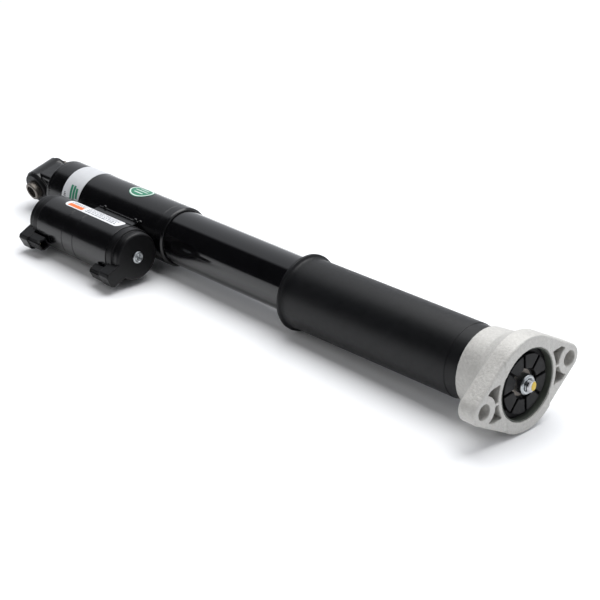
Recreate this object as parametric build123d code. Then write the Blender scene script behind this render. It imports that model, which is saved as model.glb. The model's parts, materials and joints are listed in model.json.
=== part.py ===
from build123d import *
import math
import os

# Rear shock absorber with an external two-valve damping unit.
# Frame: origin at the lower eye's bore centre, +X along the shock axis to the top mount, +Z up
# as the shock lies on a floor. Fully extended. Millimetres throughout.

# ---- overall sizes ----
EYE_TO_TOP = 619.0        # lower eye centre to the top mount's front face
STROKE = 136.0            # slide from full extension until the bump stop meets the tube's cap
TUBE_OD = 51.0            # glossy outer tube
TUBE_WALL = 2.0
ROD_R = 7.0

# ---- roll of each end about the shock axis, degrees, from +Y towards +Z ----
EYE_ROLL = 17.0
TOP_ROLL = 6.5
VALVE_ROLL = 3.3          # line from the valve unit to the shock axis

# ---- clearances ----
RUNNING = 0.05            # radial room of each part that slides or turns in another
SKIN = 0.25               # thickness of a printed label
STOP_GAP = 0.3            # room between two faces that stop against each other

# ---- lower eye ----
EYE_R = 17.5
EYE_WALL = 2.5
EYE_WIDTH = 30.0
BUSH_PROUD = 3.0          # rubber lip outside each end of the eye ring
BUSH_LIP = 1.8            # step of the lip over the ring's bore
BUSH_LIP_TAPER = 1.4
SLEEVE_BORE_R = 6.1       # clears an M12 bolt
SLEEVE_WALL = 2.9
SLEEVE_WIDTH = 48.0
SLEEVE_CHAMFER = 0.5
NECK_INSET = 1.5          # neck faces inside the eye ring's ends
NECK_DROP = 1.0           # and inside its top and bottom
NECK_FILLET = 4.0
WELD_R = 1.6

# ---- base and jacket ----
BASE_X = 34.0             # end of the round body
DOME_LENGTH = 7.0         # cone between the neck and the body
DOME_R = 21.0
BASE_STEP = 4.0           # length of each step of the base cap
BASE_SEAT = 10.0          # from the body's end to the outer tube's end
JACKET_WALL = 2.6
JACKET_END_X = 211.5
END_RING_LENGTH = 11.0
END_RING_TIP = 1.5
END_RING_DROP = 0.9
BAND_X = 58.4
BAND_WIDTH = 26.5

# ---- oval badge on the jacket ----
BADGE_X = 149.0
BADGE_HALF_LENGTH = 14.0
BADGE_HALF_WIDTH = 10.5
BADGE_ANGLE = 88.0

# ---- working cylinder and gas chamber ----
OIL_GAP = 2.5             # between the outer tube and the working cylinder
CYLINDER_WALL = 2.0
GAS_PISTON_X = 92.0
GAS_PISTON_LENGTH = 18.0
DISH_DEPTH = 6.0
DISH_WALL = 4.0
ORING_R = 1.25            # section radius

# ---- upper end of the tube ----
CAP_THICKNESS = 3.0
CAP_WALL = 1.5
CAP_SKIRT = 11.0
CAP_HOLE_GAP = 5.0        # hole in the cap, clear of the rod
CLIP_LENGTH = 2.0
CLIP_HOLE_GAP = 6.0
SEAL_LENGTH = 7.0
GUIDE_LENGTH = 20.0
GUIDE_SPIGOT = 6.0
GUIDE_BUSH_WALL = 1.5
GUIDE_BUSH_INSET = 1.5
CROSS_HOLE_R = 2.0
CROSS_HOLES = 6
CROSS_HOLE_DROP = 5.0     # below the rod guide

# ---- piston end of the rod ----
REBOUND_STOP_LENGTH = 6.0
REBOUND_STOP_GAP = 6.5    # inside the working bore
SHOULDER_DROP = 6.0       # from the rebound stop to the rod's lower shoulder
SHIM_COUNT = 4
SHIM_THICKNESS = 0.8
SHIM_GAP = 3.0            # inside the working bore
SHIM_STEP = 1.6
PISTON_LENGTH = 16.0
PISTON_CLEAR = 0.6
PISTON_PORTS = 8
PISTON_PORT_R = 1.8
PISTON_BAND_LENGTH = 11.0
PISTON_BAND_THICK = 1.8
TENON_STEP = 2.5          # shoulder under the piston
TENON_TIP = 1.5
NUT_WALL = 4.0
NUT_LENGTH = 8.0

# ---- dust cover and bump stop ----
COVER_GAP = 3.0           # between the cover and the tube's cap
COVER_WALL = 1.6
COVER_LAP = 19.5          # tube inside the cover at full extension
COVER_LIP = 2.8           # height of the flared end
COVER_LIP_LENGTH = 2.2
COVER_LIP_RUN = 1.6
COVER_END_DROP = 0.6      # smaller radius next to the casting
COVER_END_SHOW = 12.5     # visible length of that smaller end
COVER_SEAT = 11.0         # length inside the casting
STOP_LENGTH = 60.0
STOP_R = 21.0
STOP_TIP_R = 15.0
STOP_TIP = 10.0
STOP_WAISTS = 3
STOP_WAIST_R = 4.0
STOP_BORE_GAP = 0.6
STOP_CUP_DEPTH = 9.0
STOP_CUP_WALL = 1.5

# ---- top mount casting ----
MOUNT_DEPTH = 45.5        # cup rim to front face
FLANGE_THICK = 18.0
FLANGE_RIM = 1.7          # flange outside the cup's root
FLANGE_BACK_FILLET = 3.0
FLANGE_FRONT_FILLET = 2.0
EAR_FILLET = 2.4          # front edge of the ears
EAR_R = 11.8
EAR_HOLE_R = 6.5
EAR_PCD = 100.0
CUP_WALL = 1.9            # around the cover's end
CUP_EDGE = 0.8
CUP_DRAFT = 1.9           # growth of the cup's radius towards the flange
CUP_ROOT_RUN = 8.0        # cone between the cup and the flange
CUP_ROOT_RISE = 3.8
CUP_LIP = 3.2             # inward step between the cover's end and the bush
EAR_DROP = 0.8            # ear faces lie this much behind the front face
RIDGE_WIDTH = 2.0         # raised face past the point where each ear begins
BUSH_WALL = 3.4           # casting wall round the bush
BOSS_WALL = 6.2           # round each bolt hole
POCKET_WALL = 4.6
POCKET_HALF_HEIGHT = 15.0
POCKET_RIB = 2.0
POCKET_DEPTH = 13.0

# ---- top mount bush ----
BUSH_R = 30.4
BUSH_RING_WALL = 1.2
BUSH_LENGTH = 24.0
BUSH_RECESS = 1.2         # steel rim below the front face
PAD_RECESS = 3.4          # rubber pads below the front face
PAD_HEIGHT = 4.0
PAD_COUNT = 8
PAD_INSET = 1.6           # pads start outside the core
PAD_EDGE = 4.6            # groove between the pads and the steel ring
PAD_GAP = 2.2
CORE_WALL = 6.0
TOP_NUT_WALL = 3.2
TOP_NUT_EDGE = 1.0
TOP_TENON_STEP = 2.0      # shoulder under the washer
TENON_PROUD = 3.5
WASHER_R = 19.0
WASHER_THICK = 3.0

# ---- valve unit, built about its own axis and middle, then set beside the jacket ----
VALVE_R = 24.5
VALVE_WALL = 2.5
VALVE_GAP = 3.0           # between the valve tube and the jacket
VALVE_MID_X = 143.5
VALVE_HALF = 52.5
GROOVE_OFFSETS = (-14.5, 2.0)
GROOVE_WIDTH = 1.4
GROOVE_DEPTH = 0.6
CAP_COLLAR_DROP = 0.6
CAP_COLLAR = 8.0
CAP_DROP = 2.2
CAP_HEAD = 16.0
CAP_EDGE = 2.8            # rounding of the cap's outer face
CAP_SPIGOT = 8.0
SCREW_HEAD_R = 5.6
SCREW_HEAD = 1.9
SCREW_R = 2.5
SCREW_LENGTH = 18.0
SCREW_RECESS_R = 2.0
SCREW_RECESS = 1.2

# ---- plug sockets on the valve unit ----
SOCKET_ANGLE = 203.2
ARM_HALF_WIDTH = 7.8
ARM_RISE = 11.6           # outer face above the valve tube
ARM_LENGTH = 13.0         # back from the cap's face
ARM_EDGE = 2.4
SOCKET_LENGTH = 18.0      # from the arm to the mouth
SOCKET_LIFT = 0.7         # socket floor above the valve tube
SOCKET_HEIGHT = 9.4
SOCKET_LIMITS = (-3.6, 7.0)   # the socket's sides, across the arm
SOCKET_EDGE = 2.0
SOCKET_WALL = 1.5
SOCKET_DEPTH = 17.0
SOCKET_RIBS = 4
RIB_WIDTH = 1.0
RIB_HEIGHT = 0.6
LATCH_WIDTH = 3.0         # catch on the socket's lower side, at its mouth
LATCH_HEIGHT = 1.3
PIN_R = 0.8
PIN_PITCH = 3.8
PIN_LENGTH = 9.0

# ---- oil ports, saddle and label ----
PORT_OFFSET = 14.0        # each port from the unit's middle
PORT_R = 6.0
PORT_WALL = 2.0
SADDLE_LIMITS = (-25.5, 32.5)
SADDLE_HALF_WIDTH = 13.0
LABEL_LIMITS = (-34.5, 46.5)
LABEL_HALF_WIDTH = 6.2
LABEL_ANGLE = 84.0

# ---- valve internals, distances from the unit's middle ----
CAGE = (2.0, 23.0)
CAGE_GROOVE_DEPTH = 7.0
CAGE_HOLES = 4
CAGE_HOLE_R = 2.0
SPOOL_R = 3.0
SPOOL_TIP = 9.0
SPOOL_TRAVEL = 1.5
ARMATURE_R = 8.2
ARMATURE = (25.5, 35.5)
CORE_GAP = 0.5            # room left when the armature has travelled
BOBBIN = (24.0, 44.5)
BOBBIN_WALL = 1.2
BOBBIN_GAP = 1.0
COIL_GAP = 0.7
SPRING_R = 2.6
SPRING_WIRE_R = 0.4
SPRING_LENGTH = 6.0
SPRING_TURNS = 4
SPRING_ROOM = 0.8

# ---- worked out from the sizes above ----
tube_r = TUBE_OD / 2
tube_bore_r = tube_r - TUBE_WALL
jacket_r = tube_r + JACKET_WALL
cylinder_r = tube_bore_r - OIL_GAP
bore_r = cylinder_r - CYLINDER_WALL
eye_bore_r = EYE_R - EYE_WALL
sleeve_r = SLEEVE_BORE_R + SLEEVE_WALL
rod_fit_r = ROD_R + RUNNING
guide_bore_r = rod_fit_r + GUIDE_BUSH_WALL
band_r = bore_r - RUNNING
band_bore_r = band_r - PISTON_BAND_THICK
tenon_r = ROD_R - TENON_STEP
top_tenon_r = ROD_R - TOP_TENON_STEP
cap_hole_r = ROD_R + CAP_HOLE_GAP
clip_hole_r = ROD_R + CLIP_HOLE_GAP
neck_width = EYE_WIDTH - 2 * NECK_INSET
neck_height = 2 * (EYE_R - NECK_DROP)

jacket_x = BASE_X + BASE_STEP
outer_tube_x = BASE_X + BASE_SEAT
cylinder_x = outer_tube_x + BASE_STEP

cup_rim_x = EYE_TO_TOP - MOUNT_DEPTH
flange_x = EYE_TO_TOP - FLANGE_THICK
bush_x = EYE_TO_TOP - BUSH_RECESS - BUSH_LENGTH
pad_face_x = EYE_TO_TOP - PAD_RECESS
pad_floor_x = pad_face_x - PAD_HEIGHT
washer_x = bush_x - WASHER_THICK
stop_top_x = washer_x - STOP_CUP_WALL
stop_x = stop_top_x - STOP_LENGTH
cap_top_x = stop_x - STOP_GAP - STROKE
tube_end_x = cap_top_x - CAP_THICKNESS
clip_x = tube_end_x - CLIP_LENGTH
seal_x = clip_x - SEAL_LENGTH
guide_x = seal_x - GUIDE_LENGTH
rebound_x = guide_x - STOP_GAP - REBOUND_STOP_LENGTH
shoulder_x = rebound_x - SHOULDER_DROP
stack = SHIM_COUNT * SHIM_THICKNESS
piston_x = shoulder_x - stack - PISTON_LENGTH
nut_x = piston_x - stack - NUT_LENGTH
band_x = piston_x + (PISTON_LENGTH - PISTON_BAND_LENGTH) / 2

cover_x = cap_top_x - COVER_LAP
cover_bore_r = tube_r + CAP_WALL + COVER_GAP
cover_r = cover_bore_r + COVER_WALL
cover_end_r = cover_r - COVER_END_DROP
cover_step_x = cup_rim_x - COVER_END_SHOW
cover_end_x = cup_rim_x + COVER_SEAT
cup_r = cover_end_r + CUP_WALL
cup_root_r = cup_r + CUP_DRAFT + CUP_ROOT_RISE
flange_r = cup_root_r + FLANGE_RIM
bush_bore_r = BUSH_R - BUSH_RING_WALL
bush_wall_r = BUSH_R + BUSH_WALL
core_r = top_tenon_r + CORE_WALL
ear_y = EAR_PCD / 2

valve_bore_r = VALVE_R - VALVE_WALL
valve_offset = jacket_r + VALVE_GAP + VALVE_R
spigot_x = VALVE_HALF - CAP_SPIGOT
cap_face_x = VALVE_HALF + CAP_HEAD
bobbin_bore_r = ARMATURE_R + RUNNING
bobbin_r = valve_bore_r - BOBBIN_GAP
socket_floor_r = VALVE_R + SOCKET_LIFT
socket_top_r = socket_floor_r + SOCKET_HEIGHT
arm_x = cap_face_x - ARM_LENGTH
socket_mouth_x = arm_x - SOCKET_LENGTH
core_x = ARMATURE[1] + SPOOL_TRAVEL + CORE_GAP
spring_hole_x = ARMATURE[1] + SPRING_LENGTH + SPOOL_TRAVEL + CORE_GAP


# ---------------------------------------------------------------- shape helpers
def ring(x0, x1, outer, inner=0.0):
    """Straight ring about X from x0 to x1, or a bar when inner is 0."""
    plane = Plane.YZ.offset(x0)
    face = plane * Circle(outer)
    if inner > 0:
        face -= plane * Circle(inner)
    return extrude(face, x1 - x0)


def turned(*outline):
    """Solid of revolution about X; each outline point is (x, radius)."""
    return revolve(make_face(Polyline(*outline, close=True)), Axis.X)


def hoop(x, major, minor):
    """Round-section ring about X."""
    return Pos(x, 0, 0) * Rot(0, 90, 0) * Torus(major, minor)


def bar_along_y(x, y0, y1, radius):
    """Round bar parallel to Y at height 0."""
    bar = Cylinder(radius, y1 - y0, align=(Align.CENTER, Align.CENTER, Align.MIN))
    return Pos(x, y0, 0) * Rot(-90, 0, 0) * bar


def block(x, y, z):
    """Block between pairs of limits along X, Y and Z."""
    middle = ((x[0] + x[1]) / 2, (y[0] + y[1]) / 2, (z[0] + z[1]) / 2)
    return Pos(*middle) * Box(x[1] - x[0], y[1] - y[0], z[1] - z[0])


def spread(count, shape):
    """Copies of shape turned evenly about X."""
    return [Rot(360 * i / count, 0, 0) * shape for i in range(count)]


def label(outline, wall_r, angle):
    """Thin skin of the flat XZ outline, laid on a round wall about X at the angle from +Y."""
    reach = extrude(outline, -(wall_r + SKIN))
    limits = outline.bounding_box()
    skin = ring(limits.min.X, limits.max.X, wall_r + SKIN, wall_r)
    return Rot(angle, 0, 0) * (skin & reach)


def eye_frame(shape):
    return Rot(EYE_ROLL, 0, 0) * shape


def top_frame(shape):
    return Rot(TOP_ROLL, 0, 0) * shape


def valve_frame(shape):
    """From the valve unit's own axis to its place beside the jacket."""
    return Rot(VALVE_ROLL, 0, 0) * Pos(VALVE_MID_X, -valve_offset, 0) * shape


def far_end(shape):
    """The same piece at the unit's other end, turned half round about its socket's direction."""
    return Rot(SOCKET_ANGLE, 0, 0) * Rot(0, 180, 0) * Rot(-SOCKET_ANGLE, 0, 0) * shape


def both_ends(shape):
    return [valve_frame(shape), valve_frame(far_end(shape))]


# ---------------------------------------------------------------- lower eye and base
def eye_fork():
    loop = bar_along_y(0, -EYE_WIDTH / 2, EYE_WIDTH / 2, EYE_R)
    half_width, half_height = neck_width / 2, neck_height / 2
    neck_end = BASE_X - DOME_LENGTH
    neck = block((0, neck_end), (-half_width, half_width), (-half_height, half_height))
    neck = fillet(neck.edges().filter_by(Axis.X), NECK_FILLET)
    return eye_frame(loop + neck - bar_along_y(0, -EYE_WIDTH, EYE_WIDTH, eye_bore_r))


def eye_weld():
    """Bead round the foot of the neck."""
    plane = Plane.YZ.offset(BASE_X - DOME_LENGTH - WELD_R)
    outer = plane * RectangleRounded(neck_width + 2 * WELD_R, neck_height + 2 * WELD_R,
                                     NECK_FILLET + WELD_R)
    inner = plane * RectangleRounded(neck_width, neck_height, NECK_FILLET)
    return eye_frame(extrude(outer - inner, WELD_R))


def eye_rubber_bush():
    half, proud = EYE_WIDTH / 2, EYE_WIDTH / 2 + BUSH_PROUD
    lip_end_r = eye_bore_r + BUSH_LIP - BUSH_LIP_TAPER
    hole_r = sleeve_r + RUNNING
    rubber = turned((-proud, lip_end_r), (-half, eye_bore_r + BUSH_LIP), (-half, eye_bore_r),
                    (half, eye_bore_r), (half, eye_bore_r + BUSH_LIP), (proud, lip_end_r),
                    (proud, hole_r), (-proud, hole_r))
    return eye_frame(Rot(0, 0, 90) * rubber)


def eye_inner_sleeve():
    half = SLEEVE_WIDTH / 2
    sleeve = bar_along_y(0, -half, half, sleeve_r) - bar_along_y(0, -half, half, SLEEVE_BORE_R)
    return eye_frame(chamfer(sleeve.edges().filter_by(GeomType.CIRCLE), SLEEVE_CHAMFER))


def base_cap():
    dome_x = BASE_X - DOME_LENGTH
    end_x = cylinder_x + BASE_STEP
    return turned((dome_x, 0), (dome_x, DOME_R), (BASE_X, jacket_r), (jacket_x, jacket_r),
                  (jacket_x, tube_r), (outer_tube_x, tube_r), (outer_tube_x, tube_bore_r),
                  (cylinder_x, tube_bore_r), (cylinder_x, bore_r), (end_x, bore_r), (end_x, 0))


# ---------------------------------------------------------------- tubes
def port_bar(offset, radius):
    """Bar through one oil port, from inside the valve tube to past the cylinder wall."""
    return valve_frame(bar_along_y(offset, valve_bore_r / 2, valve_offset - bore_r / 2, radius))


def outer_tube():
    tube = ring(outer_tube_x, tube_end_x, tube_r, tube_bore_r)
    return tube - port_bar(-PORT_OFFSET, PORT_R) - port_bar(PORT_OFFSET, PORT_R)


def jacket():
    tube = ring(jacket_x, JACKET_END_X - END_RING_LENGTH, jacket_r, tube_r)
    return tube - port_bar(-PORT_OFFSET, PORT_R) - port_bar(PORT_OFFSET, PORT_R)


def jacket_end_ring():
    start, tip = JACKET_END_X - END_RING_LENGTH, JACKET_END_X - END_RING_TIP
    return turned((start, tube_r), (start, jacket_r - GROOVE_DEPTH / 2),
                  (start + GROOVE_DEPTH, jacket_r), (tip, jacket_r),
                  (tip, jacket_r - END_RING_DROP), (JACKET_END_X, jacket_r - END_RING_DROP),
                  (JACKET_END_X, tube_r))


def pressure_tube():
    tube = ring(cylinder_x, guide_x + GUIDE_SPIGOT, cylinder_r, bore_r)
    hole = bar_along_y(guide_x - CROSS_HOLE_DROP, 0, cylinder_r + CYLINDER_WALL, CROSS_HOLE_R)
    for cutter in spread(CROSS_HOLES, hole):
        tube -= cutter
    return tube - port_bar(-PORT_OFFSET, PORT_R)


def identification_band():
    return ring(BAND_X, BAND_X + BAND_WIDTH, jacket_r + SKIN, jacket_r)


def badge():
    oval = Plane.XZ * Pos(BADGE_X, 0) * Ellipse(BADGE_HALF_LENGTH, BADGE_HALF_WIDTH)
    return label(oval, jacket_r, BADGE_ANGLE)


def gas_piston():
    end = GAS_PISTON_X + GAS_PISTON_LENGTH
    middle = (GAS_PISTON_X + end) / 2
    body = turned((GAS_PISTON_X, band_r), (GAS_PISTON_X, band_r - DISH_WALL),
                  (GAS_PISTON_X + DISH_DEPTH, band_r - 2 * DISH_WALL), (GAS_PISTON_X + DISH_DEPTH, 0),
                  (end, 0), (end, band_r))
    return body - ring(middle - ORING_R, middle + ORING_R, bore_r, band_r - 2 * ORING_R)


def gas_piston_oring():
    return hoop(GAS_PISTON_X + GAS_PISTON_LENGTH / 2, band_r - ORING_R, ORING_R)


# ---------------------------------------------------------------- upper end of the tube
def rod_guide():
    return turned((guide_x, guide_bore_r), (guide_x, bore_r), (guide_x + GUIDE_SPIGOT, bore_r),
                  (guide_x + GUIDE_SPIGOT, tube_bore_r), (seal_x, tube_bore_r),
                  (seal_x, guide_bore_r))


def guide_bush():
    return ring(guide_x + GUIDE_BUSH_INSET, seal_x - GUIDE_BUSH_INSET, guide_bore_r, rod_fit_r)


def rod_seal():
    middle = seal_x + SEAL_LENGTH / 2
    return turned((seal_x, rod_fit_r), (seal_x, tube_bore_r), (clip_x, tube_bore_r),
                  (clip_x, clip_hole_r), (middle, clip_hole_r - GUIDE_BUSH_WALL),
                  (middle, guide_bore_r), (clip_x, guide_bore_r), (clip_x, rod_fit_r))


def retaining_ring():
    return ring(clip_x, tube_end_x, tube_bore_r, clip_hole_r)


def bump_cap():
    skirt_x, skirt_r = cap_top_x - CAP_SKIRT, tube_r + CAP_WALL
    return turned((skirt_x, tube_r), (skirt_x, skirt_r), (cap_top_x - CAP_WALL, skirt_r),
                  (cap_top_x, tube_r), (cap_top_x, cap_hole_r), (tube_end_x, cap_hole_r),
                  (tube_end_x, tube_r))


def rod_wiper():
    return turned((clip_x, rod_fit_r), (clip_x, cap_hole_r), (cap_top_x - CAP_WALL, cap_hole_r),
                  (cap_top_x, guide_bore_r), (cap_top_x, rod_fit_r))


# ---------------------------------------------------------------- rod and piston
def piston_rod():
    tip_x, end_x = nut_x - TENON_TIP, EYE_TO_TOP + TENON_PROUD
    return turned((tip_x, 0), (tip_x, tenon_r), (shoulder_x, tenon_r), (shoulder_x, ROD_R),
                  (washer_x, ROD_R), (washer_x, top_tenon_r),
                  (end_x - TOP_NUT_EDGE, top_tenon_r), (end_x, top_tenon_r - TOP_NUT_EDGE),
                  (end_x, 0))


def rebound_stop():
    return ring(rebound_x, rebound_x + REBOUND_STOP_LENGTH, bore_r - REBOUND_STOP_GAP, ROD_R)


def shim_stack(first_x, direction):
    """Discs that get smaller away from the piston."""
    discs = []
    for i in range(SHIM_COUNT):
        near = first_x + direction * i * SHIM_THICKNESS
        far = near + direction * SHIM_THICKNESS
        discs.append(ring(min(near, far), max(near, far), bore_r - SHIM_GAP - i * SHIM_STEP, tenon_r))
    return discs


def piston():
    body = ring(piston_x, piston_x + PISTON_LENGTH, bore_r - PISTON_CLEAR, tenon_r)
    groove = (band_x - RUNNING, band_x + PISTON_BAND_LENGTH + RUNNING)
    body -= ring(*groove, bore_r, band_bore_r - RUNNING)
    port = ring(piston_x, piston_x + PISTON_LENGTH, PISTON_PORT_R)
    port_radius = (tenon_r + band_bore_r) / 2
    for cutter in spread(PISTON_PORTS, Pos(0, port_radius, 0) * port):
        body -= cutter
    return body


def piston_band():
    return ring(band_x, band_x + PISTON_BAND_LENGTH, band_r, band_bore_r)


def piston_nut():
    hexagon = Plane.YZ.offset(nut_x) * RegularPolygon(tenon_r + NUT_WALL, 6, major_radius=False)
    return extrude(hexagon, NUT_LENGTH) - ring(nut_x, nut_x + NUT_LENGTH, tenon_r)


# ---------------------------------------------------------------- cover and bump stop
def dust_cover():
    step_bore_r = cover_bore_r - COVER_END_DROP
    lip_x, lip_r = cover_x + COVER_LIP_LENGTH, cover_r + COVER_LIP
    return turned((cover_x, cover_bore_r + COVER_LIP_RUN), (cover_x, lip_r), (lip_x, lip_r),
                  (lip_x + COVER_LIP_RUN, cover_r), (cover_step_x, cover_r),
                  (cover_step_x + COVER_END_DROP, cover_end_r), (cover_end_x, cover_end_r),
                  (cover_end_x, step_bore_r), (cover_step_x, step_bore_r),
                  (cover_step_x - COVER_END_DROP, cover_bore_r),
                  (cover_x + COVER_LIP_RUN, cover_bore_r))


def bump_stop():
    bore_r = ROD_R + STOP_BORE_GAP
    foam = turned((stop_x, bore_r), (stop_x, STOP_TIP_R), (stop_x + STOP_TIP, STOP_R),
                  (stop_top_x, STOP_R), (stop_top_x, bore_r))
    pitch = (STOP_LENGTH - STOP_CUP_DEPTH - STOP_TIP) / (STOP_WAISTS + 1)
    for i in range(STOP_WAISTS):
        foam -= hoop(stop_x + STOP_TIP + (i + 1) * pitch, STOP_R, STOP_WAIST_R)
    return foam


def bump_stop_cup():
    skirt_x, skirt_r = stop_top_x - STOP_CUP_DEPTH, STOP_R + STOP_CUP_WALL
    return turned((skirt_x, STOP_R), (skirt_x, skirt_r), (washer_x, skirt_r), (washer_x, ROD_R),
                  (stop_top_x, ROD_R), (stop_top_x, STOP_R))


# ---------------------------------------------------------------- top mount
def flange_outline():
    circles = Circle(flange_r) + Pos(ear_y, 0) * Circle(EAR_R) + Pos(-ear_y, 0) * Circle(EAR_R)
    return make_hull(circles.edges())


def flange_body():
    """Ears with a well rounded front edge, and the raised face between them."""
    tangent = math.acos((flange_r - EAR_R) / ear_y)
    ridge_y = flange_r * math.cos(tangent) + RIDGE_WIDTH
    plane = Plane.YZ.offset(flange_x)
    ears = extrude(plane * flange_outline(), FLANGE_THICK - EAR_DROP)
    ears = fillet(ears.faces().sort_by(Axis.X)[-1].edges(), EAR_FILLET)
    face_outline = flange_outline() & Rectangle(2 * ridge_y, 2 * flange_r)
    face = extrude(plane * face_outline, FLANGE_THICK)
    rim = face.faces().sort_by(Axis.X)[-1].edges().filter_by(GeomType.CIRCLE)
    body = ears + fillet(rim, FLANGE_FRONT_FILLET)
    return fillet(body.faces().sort_by(Axis.X)[0].edges(), FLANGE_BACK_FILLET)


def ear_pockets():
    """Lightening pockets either side of a rib, between each ear's boss and the bush ring."""
    area = offset(flange_outline(), -POCKET_WALL) - Circle(bush_wall_r)
    area &= Rectangle(3 * ear_y, 2 * POCKET_HALF_HEIGHT)
    area -= Rectangle(2 * ear_y, POCKET_RIB)
    for side in (-1, 1):
        area -= Pos(side * ear_y, 0) * Circle(EAR_HOLE_R + BOSS_WALL)
    return extrude(Plane.YZ.offset(EYE_TO_TOP - POCKET_DEPTH) * area, POCKET_DEPTH)


def top_mount_casting():
    cup_root_x = flange_x - CUP_ROOT_RUN
    cup = turned((cup_rim_x, 0), (cup_rim_x, cup_r - CUP_EDGE), (cup_rim_x + CUP_EDGE, cup_r),
                 (cup_root_x, cup_r + CUP_DRAFT), (flange_x, cup_root_r),
                 (EYE_TO_TOP - EAR_DROP, cup_root_r), (EYE_TO_TOP - EAR_DROP, 0))
    body = flange_body() + cup
    body -= ear_pockets()
    body -= ring(cup_rim_x, cover_end_x, cover_end_r)
    body -= ring(cover_end_x, bush_x, min(cover_end_r, BUSH_R) - CUP_LIP)
    body -= ring(bush_x, EYE_TO_TOP, BUSH_R)
    for side in (-1, 1):
        body -= Pos(0, side * ear_y, 0) * ring(flange_x, EYE_TO_TOP, EAR_HOLE_R)
    return top_frame(body)


def mount_bush_ring():
    return ring(bush_x, bush_x + BUSH_LENGTH, BUSH_R, bush_bore_r)


def mount_rubber_bush():
    body = ring(bush_x, pad_floor_x, bush_bore_r, core_r)
    pads = ring(pad_floor_x, pad_face_x, bush_bore_r - PAD_EDGE, core_r + PAD_INSET)
    gap = block((pad_floor_x, pad_face_x), (0, BUSH_R), (-PAD_GAP / 2, PAD_GAP / 2))
    for cutter in spread(PAD_COUNT, gap):
        pads -= cutter
    return top_frame(body + pads)


def mount_core():
    return ring(bush_x, pad_floor_x, core_r, top_tenon_r)


def rod_washer():
    return ring(washer_x, bush_x, WASHER_R, top_tenon_r)


def rod_nut():
    nut_r = top_tenon_r + TOP_NUT_WALL
    return turned((pad_floor_x, top_tenon_r), (pad_floor_x, nut_r),
                  (EYE_TO_TOP - TOP_NUT_EDGE, nut_r), (EYE_TO_TOP, nut_r - TOP_NUT_EDGE),
                  (EYE_TO_TOP, top_tenon_r))


# ---------------------------------------------------------------- valve unit, outside
def valve_tube():
    tube = ring(-VALVE_HALF, VALVE_HALF, VALVE_R, valve_bore_r)
    for start in GROOVE_OFFSETS:
        tube -= ring(start, start + GROOVE_WIDTH, VALVE_R + GROOVE_DEPTH, VALVE_R - GROOVE_DEPTH)
    tube = valve_frame(tube)
    return tube - port_bar(-PORT_OFFSET, PORT_R) - port_bar(PORT_OFFSET, PORT_R)


def valve_saddle():
    height = (VALVE_R - VALVE_WALL, valve_offset - jacket_r + VALVE_WALL)
    saddle = block(SADDLE_LIMITS, height, (-SADDLE_HALF_WIDTH, SADDLE_HALF_WIDTH))
    saddle -= ring(*SADDLE_LIMITS, VALVE_R)
    saddle -= Pos(0, valve_offset, 0) * ring(*SADDLE_LIMITS, jacket_r)
    saddle = valve_frame(saddle)
    return saddle - port_bar(-PORT_OFFSET, PORT_R) - port_bar(PORT_OFFSET, PORT_R)


def port_tube(offset, end_r):
    """Pipe from the valve tube's bore to a bore of radius end_r about the shock axis."""
    pipe = port_bar(offset, PORT_R) - port_bar(offset, PORT_R - PORT_WALL)
    pipe -= valve_frame(ring(-VALVE_HALF, VALVE_HALF, valve_bore_r))
    return pipe - ring(outer_tube_x, JACKET_END_X, end_r)


def valve_label():
    length = LABEL_LIMITS[1] - LABEL_LIMITS[0]
    middle = (LABEL_LIMITS[0] + LABEL_LIMITS[1]) / 2
    strip = Plane.XZ * Pos(middle, 0) * Rectangle(length, 2 * LABEL_HALF_WIDTH)
    patch = label(strip, VALVE_R, LABEL_ANGLE)
    return valve_frame(patch)


def socket_block():
    """Arm and plug socket, built towards +Y."""
    arm = block((arm_x, cap_face_x), (0, VALVE_R + ARM_RISE), (-ARM_HALF_WIDTH, ARM_HALF_WIDTH))
    arm = chamfer(arm.faces().sort_by(Axis.Y)[-1].edges().filter_by(Axis.X), ARM_EDGE)
    arm -= ring(0, VALVE_HALF, VALVE_R)
    side, other_side = SOCKET_LIMITS
    shell = block((socket_mouth_x, arm_x), (socket_floor_r, socket_top_r), SOCKET_LIMITS)
    shell = chamfer(shell.faces().sort_by(Axis.Y)[-1].edges().filter_by(Axis.X), SOCKET_EDGE)
    middle_y = (socket_floor_r + socket_top_r) / 2
    latch = block((socket_mouth_x, socket_mouth_x + LATCH_WIDTH),
                  (middle_y, middle_y + LATCH_WIDTH),
                  (other_side - SOCKET_WALL, other_side + LATCH_HEIGHT))
    body = arm + shell + latch
    rib_pitch = (other_side - side - 2 * SOCKET_EDGE) / (SOCKET_RIBS - 1)
    for i in range(SOCKET_RIBS):
        z = side + SOCKET_EDGE + i * rib_pitch
        body += block((socket_mouth_x + RIB_WIDTH, arm_x),
                      (socket_top_r - SOCKET_WALL, socket_top_r + RIB_HEIGHT),
                      (z - RIB_WIDTH / 2, z + RIB_WIDTH / 2))
    hollow = block((socket_mouth_x, socket_mouth_x + SOCKET_DEPTH),
                   (socket_floor_r + SOCKET_WALL, socket_top_r - SOCKET_WALL),
                   (side + SOCKET_WALL, other_side - SOCKET_WALL))
    return Rot(SOCKET_ANGLE, 0, 0) * (body - hollow)


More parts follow.
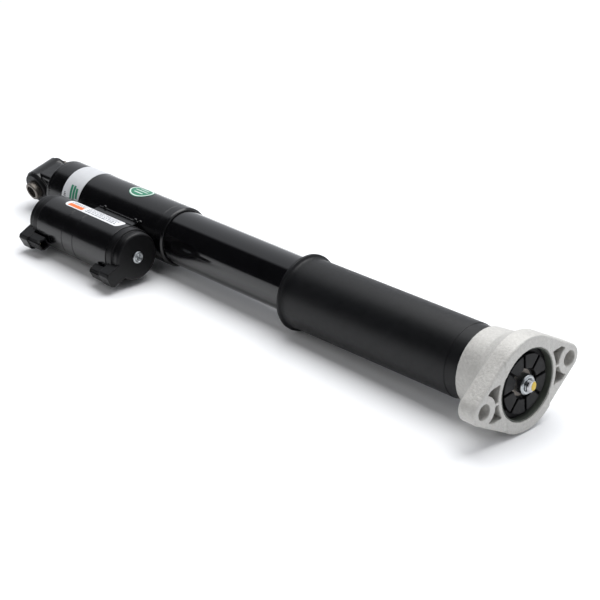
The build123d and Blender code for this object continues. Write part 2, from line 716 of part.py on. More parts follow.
def valve_cap():
    collar_r, cap_r = VALVE_R - CAP_COLLAR_DROP, VALVE_R - CAP_DROP
    cap = turned((spigot_x, 0), (spigot_x, valve_bore_r), (VALVE_HALF, valve_bore_r),
                 (VALVE_HALF, collar_r), (VALVE_HALF + CAP_COLLAR, collar_r),
                 (VALVE_HALF + CAP_COLLAR, cap_r), (cap_face_x, cap_r), (cap_face_x, 0))
    cap = fillet(cap.faces().sort_by(Axis.X)[-1].edges(), CAP_EDGE)
    groove_x = spigot_x + CAP_SPIGOT / 2
    cap -= ring(groove_x - ORING_R, groove_x + ORING_R, VALVE_R, valve_bore_r - 2 * ORING_R)
    return cap + socket_block() - ring(cap_face_x - SCREW_LENGTH, cap_face_x, SCREW_R)


def valve_cap_oring():
    return hoop(spigot_x + CAP_SPIGOT / 2, valve_bore_r - ORING_R, ORING_R)


def socket_pins():
    end_x = socket_mouth_x + SOCKET_DEPTH
    height, across = (socket_floor_r + socket_top_r) / 2, sum(SOCKET_LIMITS) / 2
    pin = ring(end_x - PIN_LENGTH, end_x, PIN_R)
    pins = [Pos(0, height, across + side * PIN_PITCH / 2) * pin for side in (-1, 1)]
    return [Rot(SOCKET_ANGLE, 0, 0) * each for each in pins]


def cap_screw():
    head = turned((cap_face_x, 0), (cap_face_x, SCREW_HEAD_R),
                  (cap_face_x + SCREW_HEAD / 2, SCREW_HEAD_R),
                  (cap_face_x + SCREW_HEAD, SCREW_HEAD_R / 2), (cap_face_x + SCREW_HEAD, 0))
    shank = ring(cap_face_x - SCREW_LENGTH, cap_face_x, SCREW_R)
    top = cap_face_x + SCREW_HEAD
    recess = Plane.YZ.offset(top - SCREW_RECESS) * RegularPolygon(SCREW_RECESS_R, 6)
    return head + shank - extrude(recess, SCREW_RECESS)


# ---------------------------------------------------------------- valve unit, inside
def valve_cage():
    cage = ring(*CAGE, valve_bore_r, SPOOL_R + RUNNING)
    cage -= ring(PORT_OFFSET - PORT_R, PORT_OFFSET + PORT_R, valve_bore_r, valve_bore_r - CAGE_GROOVE_DEPTH)
    for cutter in spread(CAGE_HOLES, bar_along_y(PORT_OFFSET, 0, VALVE_R, CAGE_HOLE_R)):
        cage -= cutter
    return cage


def spool():
    return turned((SPOOL_TIP, 0), (SPOOL_TIP, SPOOL_R / 2), (SPOOL_TIP + SPOOL_TRAVEL, SPOOL_R),
                  (ARMATURE[0], SPOOL_R), (ARMATURE[0], 0))


def armature():
    return ring(*ARMATURE, ARMATURE_R)


def bobbin():
    start, end = BOBBIN
    barrel_r = bobbin_bore_r + BOBBIN_WALL
    return turned((start, bobbin_bore_r), (start, bobbin_r), (start + BOBBIN_WALL, bobbin_r),
                  (start + BOBBIN_WALL, barrel_r), (end - BOBBIN_WALL, barrel_r),
                  (end - BOBBIN_WALL, bobbin_r), (end, bobbin_r), (end, bobbin_bore_r))


def coil():
    return ring(BOBBIN[0] + BOBBIN_WALL, BOBBIN[1] - BOBBIN_WALL, bobbin_r - COIL_GAP,
                bobbin_bore_r + BOBBIN_WALL)


def pole_core():
    hole = ring(core_x, spring_hole_x, SPRING_R + SPRING_ROOM)
    return ring(core_x, BOBBIN[1], bobbin_bore_r) - hole


def valve_spring():
    travel = SPRING_LENGTH - 2 * SPRING_WIRE_R
    path = Helix(travel / SPRING_TURNS, travel, SPRING_R)
    wire = sweep(Plane(origin=path @ 0, z_dir=path % 0) * Circle(SPRING_WIRE_R), path=path)
    return Pos(ARMATURE[1] + SPRING_WIRE_R, 0, 0) * Rot(0, 90, 0) * wire


# ---------------------------------------------------------------- nodes
NODES = {
    "eye_fork": eye_fork(),
    "eye_weld": eye_weld(),
    "eye_rubber_bush": eye_rubber_bush(),
    "eye_inner_sleeve": eye_inner_sleeve(),
    "base_cap": base_cap(),
    "outer_tube": outer_tube(),
    "jacket": jacket(),
    "jacket_end_ring": jacket_end_ring(),
    "pressure_tube": pressure_tube(),
    "identification_band": identification_band(),
    "jacket_badge": badge(),
    "gas_piston": gas_piston(),
    "gas_piston_oring": gas_piston_oring(),
    "rod_guide": rod_guide(),
    "guide_bush": guide_bush(),
    "rod_seal": rod_seal(),
    "retaining_ring": retaining_ring(),
    "bump_cap": bump_cap(),
    "rod_wiper": rod_wiper(),
    "piston_rod": piston_rod(),
    "rebound_stop": rebound_stop(),
    "compression_shims": shim_stack(piston_x + PISTON_LENGTH, 1),
    "piston": piston(),
    "piston_band": piston_band(),
    "rebound_shims": shim_stack(piston_x, -1),
    "piston_nut": piston_nut(),
    "dust_cover": dust_cover(),
    "bump_stop": bump_stop(),
    "bump_stop_cup": bump_stop_cup(),
    "top_mount_casting": top_mount_casting(),
    "mount_bush_ring": mount_bush_ring(),
    "mount_rubber_bush": mount_rubber_bush(),
    "mount_core": mount_core(),
    "rod_washer": rod_washer(),
    "rod_nut": rod_nut(),
    "valve_tube": valve_tube(),
    "valve_saddle": valve_saddle(),
    "far_port_tube": port_tube(-PORT_OFFSET, bore_r),
    "near_port_tube": port_tube(PORT_OFFSET, tube_bore_r),
    "valve_label": valve_label(),
    "near_valve_cap": valve_frame(valve_cap()),
    "far_valve_cap": valve_frame(far_end(valve_cap())),
    "valve_cap_orings": both_ends(valve_cap_oring()),
    "socket_pins": [pin for each in socket_pins() for pin in both_ends(each)],
    "cap_screws": both_ends(cap_screw()),
    "valve_cages": both_ends(valve_cage()),
    "coil_bobbins": both_ends(bobbin()),
    "valve_coils": both_ends(coil()),
    "pole_cores": both_ends(pole_core()),
    "near_armature": valve_frame(armature()),
    "far_armature": valve_frame(far_end(armature())),
    "near_spool": valve_frame(spool()),
    "far_spool": valve_frame(far_end(spool())),
    "near_valve_spring": valve_frame(valve_spring()),
    "far_valve_spring": valve_frame(far_end(valve_spring())),
}

os.makedirs("parts", exist_ok=True)
for name, shape in NODES.items():
    solid = Compound(children=shape) if isinstance(shape, list) else shape
    export_step(solid, f"parts/{name}.step")
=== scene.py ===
import json
import math
import random

import bmesh
import bpy
from mathutils import Matrix, Vector, noise


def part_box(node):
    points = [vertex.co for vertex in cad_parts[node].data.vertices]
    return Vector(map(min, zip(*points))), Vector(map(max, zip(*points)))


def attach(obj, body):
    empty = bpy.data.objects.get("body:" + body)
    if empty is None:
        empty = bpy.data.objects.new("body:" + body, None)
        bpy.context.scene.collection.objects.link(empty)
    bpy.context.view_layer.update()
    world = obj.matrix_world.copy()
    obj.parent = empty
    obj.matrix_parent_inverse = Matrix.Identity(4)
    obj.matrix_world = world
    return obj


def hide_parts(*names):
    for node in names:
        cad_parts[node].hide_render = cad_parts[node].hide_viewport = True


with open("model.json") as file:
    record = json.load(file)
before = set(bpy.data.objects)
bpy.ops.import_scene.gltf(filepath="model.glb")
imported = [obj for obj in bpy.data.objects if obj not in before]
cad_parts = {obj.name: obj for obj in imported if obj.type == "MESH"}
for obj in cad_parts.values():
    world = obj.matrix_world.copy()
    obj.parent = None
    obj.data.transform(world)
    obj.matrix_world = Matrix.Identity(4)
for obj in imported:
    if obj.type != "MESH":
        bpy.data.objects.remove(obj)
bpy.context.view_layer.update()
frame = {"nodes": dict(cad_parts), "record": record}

MM = 0.001

# Rolls of the lower eye and of the valve unit about the shock axis.
EYE_ROLL = math.radians(17.0)
VALVE_ROLL = math.radians(3.3)

nodes = frame["nodes"]


# ------------------------------------------------------------------ places read from the frame
def low(node):
    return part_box(node)[0]


def high(node):
    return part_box(node)[1]


def middle(node):
    return (low(node) + high(node)) / 2


def radius(node):
    """Outer radius of a round node about an axis parallel to X."""
    return (high(node).y - low(node).y) / 2


valve_axis = middle("valve_tube")
shock_axis = Vector((0, 0, 0))


# ------------------------------------------------------------------ mesh helpers
def finished(name, mesh, body, slot, replaced=(), sharp=35, material=None):
    """Links a mesh piece, shades it, gives it its material, parents it to its body and hides the CAD nodes
    it replaces.
    """
    mesh.shade_smooth()
    mesh.set_sharp_from_angle(angle=math.radians(sharp))
    piece = bpy.data.objects.new(name, mesh)
    bpy.context.scene.collection.objects.link(piece)
    normals = piece.modifiers.new("even_normals", "WEIGHTED_NORMAL")
    normals.keep_sharp = True
    mesh.materials.clear()
    mesh.materials.append(material or MATERIALS[slot])
    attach(piece, body)
    if replaced:
        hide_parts(*replaced)
    return piece


def to_mesh(name, bm):
    mesh = bpy.data.meshes.new(name)
    bm.to_mesh(mesh)
    bm.free()
    return mesh


def rounded(outline, size, steps=4):
    """The outline with each corner turned into a small arc; size is one radius or one per corner."""
    count = len(outline)
    sizes = [size] * count if isinstance(size, (int, float)) else size
    points = []
    for i, corner in enumerate(outline):
        here = Vector(corner)
        before, after = Vector(outline[i - 1]), Vector(outline[(i + 1) % count])
        to_before, to_after = before - here, after - here
        reach = min(sizes[i], 0.45 * to_before.length, 0.45 * to_after.length)
        if reach < 1e-6:
            points.append(here)
            continue
        start = here + to_before.normalized() * reach
        end = here + to_after.normalized() * reach
        for k in range(steps + 1):
            t = k / steps
            points.append(start * (1 - t) ** 2 + here * 2 * t * (1 - t) + end * t ** 2)
    return points


def lathe_mesh(name, outline, segments=144, place=Matrix.Identity(4)):
    """Turns an outline of (x, radius) about X, then moves it to its place."""
    bm = bmesh.new()
    rings = []
    for x, r in outline:
        if r < 1e-6:
            rings.append([bm.verts.new((x, 0, 0))])
            continue
        turn = [2 * math.pi * k / segments for k in range(segments)]
        rings.append([bm.verts.new((x, r * math.cos(a), r * math.sin(a))) for a in turn])
    for a, b in zip(rings, rings[1:] + rings[:1]):
        for k in range(segments):
            n = (k + 1) % segments
            corners = [a[k % len(a)], a[n % len(a)], b[n % len(b)], b[k % len(b)]]
            unique = list(dict.fromkeys(corners))
            if len(unique) > 2:
                bm.faces.new(unique)
    bmesh.ops.recalc_face_normals(bm, faces=bm.faces)
    mesh = to_mesh(name, bm)
    mesh.transform(place)
    return mesh


def lathe(name, outline, body, slot, replaced=(), size=0.4 * MM, place=Matrix.Identity(4)):
    """A turned piece with softened edges."""
    mesh = lathe_mesh(name, rounded(outline, size), place=place)
    return finished(name, mesh, body, slot, replaced)


def about_eye():
    """From an axis along X to the eye's own axis."""
    return Matrix.Rotation(EYE_ROLL, 4, "X") @ Matrix.Rotation(math.pi / 2, 4, "Z")


def about_valve(end=1):
    """From the valve unit's own axis, middle at 0; end -1 looks the other way."""
    return Matrix.Translation(valve_axis) @ Matrix.Rotation(math.pi * (end < 0), 4, "Z")


def joined(name, meshes):
    bm = bmesh.new()
    for mesh in meshes:
        bm.from_mesh(mesh)
    return to_mesh(name, bm)


def rectangle(u0, u1, v0, v1):
    return [(u0, v0), (u1, v0), (u1, v1), (u0, v1)]


def wrapped(name, outlines, axis, r, angle, thick, step=1.2 * MM):
    """Thin film of flat outlines (along X, round the arc) laid on a cylinder at an angle from +Y."""
    bm = bmesh.new()
    for outline in outlines:
        bm.faces.new([bm.verts.new((u, v, 0)) for u, v in outline])
    reach = max(abs(v.co.y) for v in bm.verts)
    for k in range(-int(reach / step), int(reach / step) + 1):
        bmesh.ops.bisect_plane(bm, geom=bm.verts[:] + bm.edges[:] + bm.faces[:], dist=1e-7,
                               plane_co=(0, k * step, 0), plane_no=(0, 1, 0))
    top = bmesh.ops.extrude_face_region(bm, geom=bm.faces[:], use_keep_orig=True)
    for vertex in top["geom"]:
        if isinstance(vertex, bmesh.types.BMVert):
            vertex.co.z += thick
    for vertex in bm.verts:
        u, v, w = vertex.co
        turn = angle + v / r
        vertex.co = (u, axis.y + (r + w) * math.cos(turn), axis.z + (r + w) * math.sin(turn))
    bmesh.ops.recalc_face_normals(bm, faces=bm.faces)
    return to_mesh(name, bm)


def bead(name, points, size, ripple, pitch, sides=12):
    """Weld bead with ripples along a straight run between two points."""
    start, end = Vector(points[0]), Vector(points[1])
    length = (end - start).length
    along = (end - start).normalized()
    across = along.orthogonal().normalized()
    upward = along.cross(across)
    count = int(length / (0.25 * MM))
    bm = bmesh.new()
    rings = []
    for i in range(count + 1):
        t = i / count
        taper = min(1, math.sqrt(max(1e-4, min(t, 1 - t) * length / size)))
        wave = 1 + ripple * math.sin(2 * math.pi * t * length / pitch)
        r = size * taper * (wave + 0.1 * noise.noise((t * 40, size * 1000, 0)))
        centre = start.lerp(end, t)
        turn = [2 * math.pi * k / sides for k in range(sides)]
        rings.append([bm.verts.new(centre + r * (across * math.cos(a) + upward * math.sin(a)))
                      for a in turn])
    for a, b in zip(rings, rings[1:]):
        for k in range(sides):
            bm.faces.new((a[k], a[(k + 1) % sides], b[(k + 1) % sides], b[k]))
    bm.faces.new(rings[0])
    bm.faces.new(rings[-1])
    bmesh.ops.recalc_face_normals(bm, faces=bm.faces)
    return to_mesh(name, bm)


def lump(name, centre, size, squash):
    """One small uneven drop, scaled along each axis by squash."""
    bm = bmesh.new()
    bmesh.ops.create_icosphere(bm, subdivisions=3, radius=size)
    for vertex in bm.verts:
        vertex.co *= 1 + 0.15 * noise.noise(vertex.co / size)
        vertex.co = Vector([c + v * k for c, v, k in zip(centre, vertex.co, squash)])
    return to_mesh(name, bm)


def cad_copy(*names):
    """One mesh holding copies of CAD nodes, for a piece that refines their shape."""
    bm = bmesh.new()
    for name in names:
        bm.from_mesh(nodes[name].data)
    bmesh.ops.remove_doubles(bm, verts=bm.verts, dist=1e-6)
    return to_mesh(names[0] + "_fine", bm)


def applied(mesh, *steps):
    """Runs modifiers, each (type, settings), on a mesh and returns the result."""
    piece = bpy.data.objects.new("work", mesh)
    bpy.context.scene.collection.objects.link(piece)
    for kind, settings in steps:
        modifier = piece.modifiers.new(kind, kind)
        for key, value in settings.items():
            setattr(modifier, key, value)
    depsgraph = bpy.context.evaluated_depsgraph_get()
    result = bpy.data.meshes.new_from_object(piece.evaluated_get(depsgraph))
    bpy.data.objects.remove(piece)
    return result


def cast(name, sources, voxel, relax, body, slot, roughen=0.0, grain=3 * MM):
    """Copies CAD nodes and rounds every edge the way a casting, a moulding or paint does."""
    mesh = applied(cad_copy(*sources),
                   ("REMESH", {"mode": "VOXEL", "voxel_size": voxel, "adaptivity": 0.0}),
                   ("SMOOTH", {"factor": 0.5, "iterations": relax}))
    if roughen:
        moved = [v.co + v.normal * noise.noise(v.co / grain) * roughen for v in mesh.vertices]
        mesh.vertices.foreach_set("co", [c for place in moved for c in place])
    return finished(name, mesh, body, slot, sources, sharp=80)


# ------------------------------------------------------------------ materials
def new_material(name, color, rough, metallic=0.0, coat=0.0, coat_rough=0.03, specular=0.5):
    material = bpy.data.materials.new(name)
    material.use_nodes = True
    shader = material.node_tree.nodes["Principled BSDF"]
    shader.inputs["Base Color"].default_value = (*color, 1)
    shader.inputs["Roughness"].default_value = rough
    shader.inputs["Metallic"].default_value = metallic
    shader.inputs["Coat Weight"].default_value = coat
    shader.inputs["Coat Roughness"].default_value = coat_rough
    shader.inputs["Specular IOR Level"].default_value = specular
    return material, material.node_tree, shader


def add(tree, kind, **settings):
    node = tree.nodes.new(kind)
    for key, value in settings.items():
        if key in node.inputs.keys():
            node.inputs[key].default_value = value
        else:
            setattr(node, key, value)
    return node


def noise_at(tree, scale, detail=4.0, stretch=(1, 1, 1), roughness=0.55):
    """Noise in the object's own frame, scale in cells per metre."""
    place = add(tree, "ShaderNodeTexCoord")
    fit = add(tree, "ShaderNodeMapping")
    fit.inputs["Scale"].default_value = stretch
    grain = add(tree, "ShaderNodeTexNoise", Scale=scale, Detail=detail, Roughness=roughness)
    tree.links.new(place.outputs["Object"], fit.inputs["Vector"])
    tree.links.new(fit.outputs["Vector"], grain.inputs["Vector"])
    return grain.outputs["Fac"]


def ramp(tree, source, stops):
    """Colour ramp; stops are (position, colour or grey)."""
    node = add(tree, "ShaderNodeValToRGB")
    elements = node.color_ramp.elements
    while len(elements) < len(stops):
        elements.new(0.5)
    for element, (position, color) in zip(elements, stops):
        element.position = position
        element.color = (color, color, color, 1) if isinstance(color, (int, float)) else (*color, 1)
    tree.links.new(source, node.inputs["Fac"])
    return node.outputs["Color"]


def vary_color(tree, shader, source, dark, light):
    tree.links.new(ramp(tree, source, [(0.3, dark), (0.7, light)]), shader.inputs["Base Color"])


def vary_rough(tree, shader, source, lowest, highest):
    tree.links.new(ramp(tree, source, [(0.3, lowest), (0.7, highest)]), shader.inputs["Roughness"])


def bump(tree, shader, source, height, strength=1.0):
    """Relief of the given height in metres."""
    node = add(tree, "ShaderNodeBump", Strength=strength, Distance=height)
    tree.links.new(source, node.inputs["Height"])
    tree.links.new(node.outputs["Normal"], shader.inputs["Normal"])


def paint(name, color, rough, peel, coat):
    """Sprayed black paint with a slight orange peel and uneven gloss."""
    material, tree, shader = new_material(name, color, rough, coat=coat, coat_rough=0.04)
    vary_color(tree, shader, noise_at(tree, 60), [c * 0.8 for c in color], [c * 1.3 for c in color])
    vary_rough(tree, shader, noise_at(tree, 90), rough * 0.85, rough * 1.2)
    bump(tree, shader, noise_at(tree, 700, 1.0), peel)
    return material


def cast_metal(name):
    """Sand-cast aluminium: fine grain, cloudy tone, dull."""
    material, tree, shader = new_material(name, (0.72, 0.71, 0.69), 0.55, metallic=0.35)
    cloud = noise_at(tree, 420, 6.0, roughness=0.7)
    vary_color(tree, shader, cloud, (0.44, 0.432, 0.41), (0.62, 0.61, 0.585))
    vary_rough(tree, shader, noise_at(tree, 420, 3.0), 0.42, 0.66)
    bump(tree, shader, noise_at(tree, 750, 6.0, roughness=0.75), 0.5 * MM, 0.7)
    return material


def turned_metal(name, color, rough, metallic=1.0):
    """Metal with fine lathe lines round X and a little colour variation."""
    material, tree, shader = new_material(name, color, rough, metallic=metallic)
    lines = noise_at(tree, 900, 2.0, stretch=(10, 0.3, 0.3))
    dark, light = [c * 0.85 for c in color], [min(1, c * 1.1) for c in color]
    vary_color(tree, shader, noise_at(tree, 120), dark, light)
    vary_rough(tree, shader, lines, rough * 0.8, min(1, rough * 1.25))
    bump(tree, shader, lines, 0.004 * MM)
    return material


def moulded(name, color, rough, grain=2500, height=0.03 * MM, specular=0.5):
    """Moulded plastic or rubber with a fine texture and uneven dullness."""
    material, tree, shader = new_material(name, color, rough, specular=specular)
    vary_color(tree, shader, noise_at(tree, 80), [c * 0.85 for c in color], [c * 1.2 for c in color])
    vary_rough(tree, shader, noise_at(tree, 200, 3.0), rough * 0.9, min(1, rough * 1.12))
    bump(tree, shader, noise_at(tree, grain, 3.0), height, 0.6)
    return material


def film(name, color, rough=0.35):
    """Printed film with a faint smudge."""
    material, tree, shader = new_material(name, color, rough)
    vary_color(tree, shader, noise_at(tree, 150), [c * 0.93 for c in color], color)
    vary_rough(tree, shader, noise_at(tree, 300), rough * 0.8, rough * 1.3)
    bump(tree, shader, noise_at(tree, 1800, 2.0), 0.004 * MM)
    return material


MATERIALS = {
    "painted_black": paint("painted_black", (0.0022, 0.0022, 0.0026), 0.20, 0.010 * MM, 0.05),
    "tube_gloss": paint("tube_gloss", (0.002, 0.002, 0.0024), 0.10, 0.004 * MM, 0.2),
    "cast_aluminium": cast_metal("cast_aluminium"),
    "machined_aluminium": turned_metal("machined_aluminium", (0.66, 0.67, 0.69), 0.3),
    "rubber": moulded("rubber", (0.0035, 0.0035, 0.004), 0.48, specular=0.2),
    "bush_steel": turned_metal("bush_steel", (0.20, 0.18, 0.16), 0.45, metallic=0.8),
    "steel": turned_metal("steel", (0.45, 0.45, 0.46), 0.3),
    "zinc_steel": turned_metal("zinc_steel", (0.43, 0.45, 0.46), 0.30),
    "bush_ring_steel": moulded("bush_ring_steel", (0.07, 0.078, 0.065), 0.4),
    "hard_chrome": turned_metal("hard_chrome", (0.8, 0.81, 0.83), 0.08),
    "cover_plastic": moulded("cover_plastic", (0.0045, 0.0047, 0.0054), 0.42, height=0.02 * MM,
                             specular=0.24),
    "cap_plastic": moulded("cap_plastic", (0.003, 0.003, 0.0034), 0.33, specular=0.24),
    "bobbin_plastic": moulded("bobbin_plastic", (0.10, 0.09, 0.08), 0.5),
    "ptfe": moulded("ptfe", (0.16, 0.20, 0.17), 0.5),
    "bump_foam": moulded("bump_foam", (0.55, 0.47, 0.25), 0.85, grain=900, height=0.2 * MM),
    "white_print": film("white_print", (0.80, 0.81, 0.83)),
    "green_print": film("green_print", (0.02, 0.20, 0.11)),
    "bronze": turned_metal("bronze", (0.45, 0.32, 0.18), 0.4),
    "copper_winding": turned_metal("copper_winding", (0.55, 0.25, 0.13), 0.35),
    "contact_brass": turned_metal("contact_brass", (0.70, 0.62, 0.42), 0.3),
}

for entry in frame["record"]["subparts"]:
    node = nodes[entry["node"]]
    node.data.materials.clear()
    node.data.materials.append(MATERIALS[entry["material_slot"]])

band = nodes["identification_band"].data.materials
band[0] = film("band_film", (0.60, 0.61, 0.63))


# ------------------------------------------------------------------ pieces: lower end and jacket
def make_lower_end():
    """Eye, welded neck and base cap as one painted weldment; soft rubber lips; sleeve."""
    cast("lower_end", ["eye_fork", "eye_weld", "base_cap"], 0.5 * MM, 4, "cylinder", "painted_black",
         roughen=0.04 * MM, grain=4 * MM)
    cast("eye_bush", ["eye_rubber_bush"], 0.35 * MM, 3, "cylinder", "rubber")
    half, bore, r = 24 * MM, 6.1 * MM, 9 * MM
    lip = 0.8 * MM
    outline = [(-half, bore), (-half, r - lip), (-half + lip, r), (half - lip, r), (half, r - lip),
               (half, bore)]
    lathe("eye_sleeve_tube", outline, "eye_sleeve", "bush_steel", ["eye_inner_sleeve"],
          size=0.35 * MM, place=about_eye())


def make_jacket():
    bore = radius("outer_tube")
    x0, x1, r = low("jacket").x, high("jacket").x, radius("jacket")
    lathe("jacket_shell", [(x0, bore), (x0, r), (x1, r), (x1, bore)], "cylinder", "painted_black",
          ["jacket"], size=0.7 * MM)
    x0, x1, r = low("jacket_end_ring").x, high("jacket_end_ring").x, radius("jacket_end_ring")
    tip = 1.5 * MM
    lathe("jacket_collar", [(x0, bore), (x0, r), (x1 - tip, r), (x1, r - tip), (x1, bore)],
          "cylinder", "painted_black", ["jacket_end_ring"], size=0.5 * MM)


def make_cover():
    """Moulded sleeve with a flared lip; its free end hangs a little below the shock axis."""
    x0, x1 = low("dust_cover").x, high("dust_cover").x
    lip_r, lip, wall = radius("dust_cover"), 2.8 * MM, 1.6 * MM
    r, bore = lip_r - lip, lip_r - lip - wall
    seat_x = low("top_mount_casting").x - 12.5 * MM
    sag, drop = 2.4 * MM, 0.6 * MM
    outline = [(x0, bore), (x0, lip_r), (x0 + 2.2 * MM, lip_r), (x0 + 3.8 * MM, r + 0.4 * MM),
               (x0 + 6 * MM, r), (seat_x - drop, r), (seat_x, r - drop), (x1, r - drop), (x1, bore)]
    body = rounded(outline, [0.5 * MM] * 3 + [1.2 * MM, 1.5 * MM] + [0.5 * MM] * 4)
    mesh = lathe_mesh("cover_sleeve", body)
    for vertex in mesh.vertices:
        vertex.co.z -= sag * (x1 - vertex.co.x) / (x1 - x0)
    finished("cover_sleeve", mesh, "rod_and_mount", "cover_plastic", ["dust_cover"])


# ------------------------------------------------------------------ pieces: top mount
def make_top_mount():
    cast("mount_body", ["top_mount_casting"], 0.55 * MM, 5, "rod_and_mount", "cast_aluminium",
         roughen=0.12 * MM, grain=1.7 * MM)
    cast("mount_rubber", ["mount_rubber_bush"], 0.4 * MM, 9, "rod_and_mount", "rubber")
    x0, x1, r = low("mount_bush_ring").x, high("mount_bush_ring").x, radius("mount_bush_ring")
    bore = r - 1.2 * MM
    lathe("mount_ring", [(x0, bore), (x0, r), (x1, r), (x1, bore)], "rod_and_mount",
          "bush_ring_steel", ["mount_bush_ring"], size=0.5 * MM)


def make_rod_end():
    """Nut with a rolled edge, threads of the rod's end, and the fitter's paint dab."""
    x0, x1, r = low("rod_nut").x, high("rod_nut").x, radius("rod_nut")
    bore, edge = r - 3.2 * MM, 1.1 * MM
    outline = [(x0, bore), (x0, r), (x1 - edge, r), (x1, r - edge), (x1, bore + 0.4 * MM)]
    lathe("rod_nut_turned", outline, "rod_and_mount", "zinc_steel", ["rod_nut"], size=0.4 * MM)
    tip_x = high("piston_rod").x
    pitch, thread = 1.25 * MM, [(x1 - 1.5 * MM, 0)]
    for i in range(4):
        here = x1 - 1.5 * MM + i * pitch
        thread += [(here, bore - 0.3 * MM), (here + pitch / 2, bore + 0.08 * MM)]
    thread += [(tip_x, bore - 0.9 * MM), (tip_x + 0.05 * MM, 0)]
    lathe("rod_thread", thread, "rod_and_mount", "steel", size=0.1 * MM)
    dab = lump("paint_dab", (tip_x, 1.7 * MM, 0), 3.3 * MM, (0.12, 0.85, 1.15))
    yellow = film("yellow_ink", (0.72, 0.50, 0.04))
    finished("paint_dab", dab, "rod_and_mount", "white_print", material=yellow)


# ------------------------------------------------------------------ pieces: valve unit
def make_valve_tube():
    half = (high("valve_tube").x - low("valve_tube").x) / 2
    r = radius("valve_tube")
    bore, depth, width = r - 2.5 * MM, 0.6 * MM, 1.4 * MM
    outline = [(-half, bore), (-half, r)]
    for start in (-14.5 * MM, 2.0 * MM):
        outline += [(start, r), (start + 0.3 * MM, r - depth), (start + width - 0.3 * MM, r - depth),
                    (start + width, r)]
    outline += [(half, r), (half, bore)]
    lathe("valve_shell", outline, "cylinder", "painted_black", ["valve_tube"], size=0.45 * MM,
          place=about_valve())


def make_valve_caps():
    for end in ("near", "far"):
        cast(end + "_cap_moulding", [end + "_valve_cap"], 0.35 * MM, 4, "cylinder", "cap_plastic")


def make_cap_screws():
    """Pan heads with turned rings round a deep recess."""
    face = high("near_valve_cap").x - valve_axis.x
    r, height = 5.6 * MM, 1.9 * MM
    outline = [(face - 2 * MM, 0), (face - 2 * MM, 2.4 * MM), (face, 2.4 * MM), (face, r),
               (face + 0.7 * height, r), (face + height, r - 1.2 * MM), (face + height, 4.1 * MM),
               (face + 0.75 * height, 3.8 * MM), (face + 0.75 * height, 3.1 * MM),
               (face + height, 2.8 * MM), (face + height, 2.1 * MM), (face + 0.1 * height, 1.8 * MM),
               (face + 0.1 * height, 0)]
    heads = [lathe_mesh("head", rounded(outline, 0.25 * MM), 72, about_valve(end)) for end in (1, -1)]
    finished("cap_screw_heads", joined("cap_screw_heads", heads), "cylinder", "zinc_steel", ["cap_screws"])


def make_welds():
    """Beads along the saddle's edges on the jacket, and a few drops of spatter."""
    x0, x1 = low("valve_saddle").x, high("valve_saddle").x
    r, saddle_half = radius("jacket"), 13 * MM
    beads = []
    for side in (-1, 1):
        turn = math.pi + VALVE_ROLL + side * math.asin(saddle_half / r)
        y, z = (r + 0.3 * MM) * math.cos(turn), (r + 0.3 * MM) * math.sin(turn)
        beads.append(bead("bead", [(x0, y, z), (x1, y, z)], 1.1 * MM, ripple=0.1, pitch=3 * MM))
    turn = math.pi + VALVE_ROLL - math.asin(saddle_half / r)
    for x in (x0 + 8 * MM, x1 - 4 * MM, x1 + 3 * MM):
        place = (x, (r + 0.4 * MM) * math.cos(turn - 0.05), (r + 0.4 * MM) * math.sin(turn - 0.05))
        beads.append(lump("drop", place, 1.7 * MM, (1.2, 1, 1)))
    finished("saddle_welds", joined("saddle_welds", beads), "cylinder", "painted_black")


# ------------------------------------------------------------------ pieces: printed marks
def text_lines(u0, u1, rows, height, gap, seed):
    """Rows of short bars that stand for small print."""
    chance = random.Random(seed)
    bars = []
    for v in rows:
        u = u0
        while u < u1 - 1.5 * MM:
            end = min(u1, u + chance.uniform(1.2, 5.0) * MM)
            bars.append(rectangle(u, end, v - height / 2, v + height / 2))
            u = end + gap
    return bars


def make_label():
    """White label on the valve tube: orange box and small print."""
    x0, x1 = low("valve_label").x, high("valve_label").x
    r, turn, wide = radius("valve_tube"), math.radians(84.0) + VALVE_ROLL, 6.2 * MM
    strip = [tuple(p) for p in rounded(rectangle(x0, x1, -wide, wide), 5.5 * MM, 8)]
    mesh = wrapped("label_strip", [strip], valve_axis, r, turn, 0.2 * MM)
    finished("label_strip", mesh, "cylinder", "white_print", ["valve_label"])
    start = x0 + 4.5 * MM
    box = [rectangle(start, start + 21.5 * MM, 0.5 * MM, 5.0 * MM)]
    mesh = wrapped("label_box", box, valve_axis, r + 0.2 * MM, turn, 0.04 * MM)
    finished("label_box", mesh, "cylinder", "white_print", material=film("orange_ink", (0.80, 0.16, 0.02)))
    bars = text_lines(start, start + 22 * MM, (-1.0 * MM, -3.2 * MM), 1.1 * MM, 0.9 * MM, 3)
    bars += text_lines(start + 25 * MM, x1 - 6 * MM, (3.6 * MM, 1.2 * MM, -1.2 * MM, -3.6 * MM), 1.1 * MM,
                       0.9 * MM, 5)
    mesh = wrapped("label_print", bars, valve_axis, r + 0.2 * MM, turn, 0.04 * MM)
    finished("label_print", mesh, "cylinder", "white_print", material=film("grey_ink", (0.16, 0.17, 0.19)))


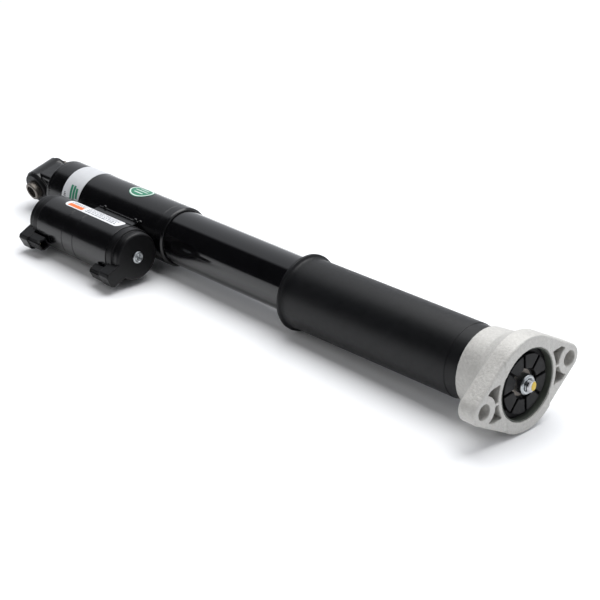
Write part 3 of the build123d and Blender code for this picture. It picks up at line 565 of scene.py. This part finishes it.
def make_band_marks():
    """Generic slanted green bars and a small black code on the light band."""
    x0, r = low("identification_band").x, radius("identification_band")
    turn, lean = math.radians(152), 2.6 * MM
    bars = []
    for start, height in ((10, 7), (14.2, 7), (18.4, 5)):
        u = x0 + start * MM
        low_v, high_v = -height * MM, height * MM
        bars.append([(u, low_v), (u + 3.1 * MM, low_v), (u + 3.1 * MM + lean, high_v), (u + lean, high_v)])
    mesh = wrapped("band_bars", bars, shock_axis, r, turn, 0.05 * MM)
    finished("band_bars", mesh, "cylinder", "green_print")
    code = text_lines(x0 + 3.2 * MM, x0 + 6.8 * MM, (5.6 * MM, 4.0 * MM, 2.4 * MM), 0.9 * MM, 0.5 * MM, 9)
    mesh = wrapped("band_code", code, shock_axis, r, turn, 0.05 * MM)
    finished("band_code", mesh, "cylinder", "white_print", material=film("black_ink", (0.02, 0.02, 0.025)))


def make_badge():
    """Pale oval ring and bars on the green badge."""
    centre, r = middle("jacket_badge"), high("jacket_badge").z
    turn, count = math.radians(88), 64

    def oval(k, a, b):
        t = 2 * math.pi * k / count
        return (centre.x + a * math.cos(t) * MM, b * math.sin(t) * MM)

    ring = [[oval(k, 13.6, 10.1), oval(k + 1, 13.6, 10.1), oval(k + 1, 12.2, 8.8), oval(k, 12.2, 8.8)]
            for k in range(count)]
    bars = [rectangle(centre.x - half * MM, centre.x + half * MM, (v - 0.6) * MM, (v + 0.6) * MM)
            for half, v in ((6, 4.2), (8.5, 0), (6, -4.2))]
    mesh = wrapped("badge_ring", ring + bars, shock_axis, r, turn, 0.05 * MM)
    finished("badge_ring", mesh, "cylinder", "green_print", material=film("pale_ink", (0.66, 0.74, 0.70)))


make_lower_end()
make_jacket()
make_cover()
make_top_mount()
make_rod_end()
make_valve_tube()
make_valve_caps()
make_cap_screws()
make_welds()
make_label()
make_band_marks()
make_badge()


# ------------------------------------------------------------------ camera, floor and light
def make_camera():
    data = bpy.data.cameras.new("camera")
    camera = bpy.data.objects.new("camera", data)
    bpy.context.scene.collection.objects.link(camera)
    camera.location = (1.3154, -0.8945, 0.5767)
    camera.rotation_euler = (math.radians(65.704), 0, math.radians(46.695))
    data.sensor_width = 36
    data.lens = 99.66
    data.clip_start = 0.05
    data.clip_end = 50
    bpy.context.scene.camera = camera


def make_floor():
    """The floor touches the round body's end and the flange, so it is tilted a little to the axis."""
    base_x, base_r = low("jacket").x, radius("jacket")
    flange = nodes["top_mount_casting"].data.vertices
    lowest = min(flange, key=lambda v: v.co.z).co
    slope = math.atan2(-base_r - lowest.z, lowest.x - base_x)
    mesh = bpy.data.meshes.new("floor")
    size, gap = 30.0, 0.3 * MM
    mesh.from_pydata([(-size, -size, 0), (size, -size, 0), (size, size, 0), (-size, size, 0)], [],
                     [(0, 1, 2, 3)])
    floor = bpy.data.objects.new("floor", mesh)
    bpy.context.scene.collection.objects.link(floor)
    floor.location = (base_x, 0, -base_r - gap)
    floor.rotation_euler = (0, slope, 0)
    material, tree, shader = new_material("floor", (0.92, 0.925, 0.935), 0.6, specular=0.25)
    mesh.materials.append(material)


def area_light(name, place, target, size, power):
    data = bpy.data.lights.new(name, "AREA")
    data.energy = power
    data.shape = "SQUARE"
    data.size = size
    light = bpy.data.objects.new(name, data)
    bpy.context.scene.collection.objects.link(light)
    light.location = place
    light.rotation_euler = (Vector(target) - Vector(place)).to_track_quat("-Z", "Y").to_euler()
    return light


def make_light():
    """Bright room behind, dark room in front, a soft overhead panel, and a fill kept out of mirrors."""
    world = bpy.data.worlds.new("world")
    bpy.context.scene.world = world
    world.use_nodes = True
    tree = world.node_tree
    direction = add(tree, "ShaderNodeTexCoord")
    parts = add(tree, "ShaderNodeSeparateXYZ")
    tree.links.new(direction.outputs["Generated"], parts.inputs["Vector"])
    scaled = add(tree, "ShaderNodeMapRange", **{"From Min": -1.0, "From Max": 1.0})
    tree.links.new(parts.outputs["Y"], scaled.inputs["Value"])
    sky = ramp(tree, scaled.outputs["Result"], [(0.40, (0.02, 0.02, 0.023)), (0.46, (0.70, 0.72, 0.76))])
    tree.links.new(sky, tree.nodes["Background"].inputs["Color"])
    area_light("overhead", (0.3, 0.5, 1.6), (0.3, 0, 0), 1.8, 36)
    fill = area_light("fill", (0.5, -1.3, 1.1), (0.3, 0, 0), 1.6, 9)
    fill.visible_glossy = False
    bpy.context.scene.view_settings.view_transform = "Standard"


make_camera()
make_floor()
make_light()
